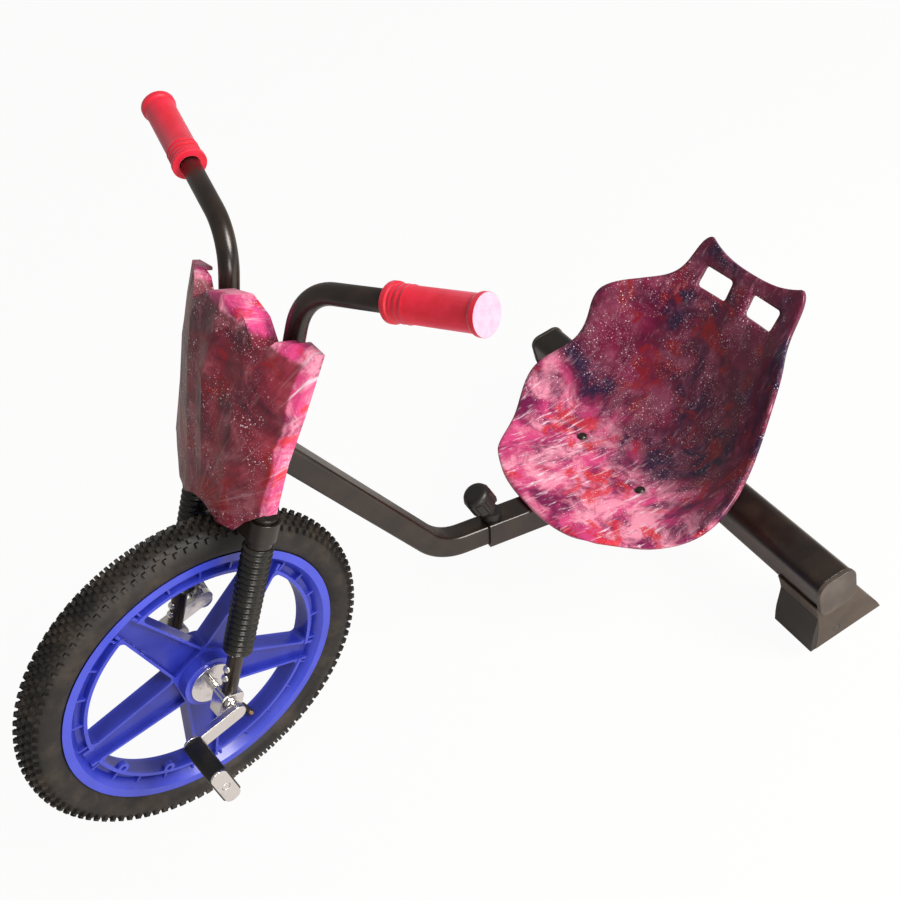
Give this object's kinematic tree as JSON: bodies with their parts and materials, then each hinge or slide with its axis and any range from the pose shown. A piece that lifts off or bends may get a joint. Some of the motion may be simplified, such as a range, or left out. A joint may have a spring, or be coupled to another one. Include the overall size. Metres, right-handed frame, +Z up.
{
  "type": "drift scooter",
  "caption": "Child's low drift trike: a pedalled knobbly front wheel under a turning fork, a bucket seat on a clamped sliding frame and hard rear rollers.",
  "frame": {"origin": "on the floor, under the middle of the overall box", "axes": "+X forward, +Y to the rider's left, +Z up"},
  "size_m": [0.9755, 0.588, 0.6919],
  "materials": {
    "black_paint": "glossy black paint",
    "black_plastic": "moulded black plastic, satin",
    "grey_plastic": "moulded dark grey plastic",
    "seat_print": "moulded plastic with a purple and pink nebula print under clear coat",
    "fairing_print": "moulded plastic with a purple and red nebula print under clear coat",
    "tyre": "knobbly black rubber",
    "blue_plastic": "moulded blue plastic",
    "chrome": "bright plated steel",
    "black_rubber": "matt black rubber",
    "pink_rubber": "red-pink moulded rubber",
    "roller_plastic": "hard pale plastic"
  },
  "bodies": {
    "frame": {"rear_cross_tube": "black_paint", "rear_sleeve_tube": "black_paint", "clamp_knob": "black_plastic", "seat_shell": "seat_print", "seat_bracket": "black_paint", "left_rear_housing": "black_plastic", "left_rear_axle": "chrome", "left_end_cap": "grey_plastic", "right_rear_housing": "black_plastic", "right_rear_axle": "chrome", "right_end_cap": "grey_plastic"},
    "front_frame": {"front_bent_tube": "black_paint", "head_tube": "black_paint"},
    "steering": {"fork_crown": "black_paint", "handlebar": "black_paint", "stem": "black_paint", "front_fairing": "fairing_print", "fairing_bracket": "black_paint", "left_fork_leg": "black_paint", "left_fork_boot": "black_rubber", "left_fork_tip": "black_paint", "left_dropout": "chrome", "left_grip": "pink_rubber", "right_fork_leg": "black_paint", "right_fork_boot": "black_rubber", "right_fork_tip": "black_paint", "right_dropout": "chrome", "right_grip": "pink_rubber"},
    "front_wheel": {"front_tyre": "tyre", "front_wheel": "blue_plastic", "wheel_axle": "chrome", "left_hub_plate": "chrome", "left_crank": "chrome", "right_hub_plate": "chrome", "right_crank": "chrome"},
    "left_pedal": {"left_pedal_cage": "chrome", "left_pedal_block": "black_rubber"},
    "left_rear_wheel": {"left_rear_wheel": "roller_plastic"},
    "right_pedal": {"right_pedal_cage": "chrome", "right_pedal_block": "black_rubber"},
    "right_rear_wheel": {"right_rear_wheel": "roller_plastic"}
  },
  "joints": [
    {"name": "frame_length", "type": "slide", "parent": "frame", "child": "front_frame", "axis": [0.9681, 0, 0.2504], "range_m": [-0.02, 0.08]},
    {"name": "steering_turn", "type": "hinge", "parent": "front_frame", "child": "steering", "pos_m": [0.12311, 0, 0.44942], "axis": [-0.5505, 0, 0.8348], "range_deg": [-63.5, 36.5]},
    {"name": "front_wheel_spin", "type": "hinge", "parent": "steering", "child": "front_wheel", "pos_m": [0.2855, 0, 0.20314], "axis": [-0.1949, 0.9724, -0.1285], "continuous": true},
    {"name": "left_pedal_spin", "type": "hinge", "parent": "front_wheel", "child": "left_pedal", "pos_m": [0.31656, 0.11971, 0.19031], "axis": [-0.1949, 0.9724, -0.1285], "continuous": true},
    {"name": "left_rear_wheel_spin", "type": "hinge", "parent": "frame", "child": "left_rear_wheel", "pos_m": [-0.332, 0.258, 0.031], "axis": [0, 1, 0], "continuous": true},
    {"name": "right_pedal_spin", "type": "hinge", "parent": "front_wheel", "child": "right_pedal", "pos_m": [0.25444, -0.11971, 0.21598], "axis": [-0.1949, 0.9724, -0.1285], "continuous": true},
    {"name": "right_rear_wheel_spin", "type": "hinge", "parent": "frame", "child": "right_rear_wheel", "pos_m": [-0.332, -0.258, 0.031], "axis": [0, 1, 0], "continuous": true}
  ]
}
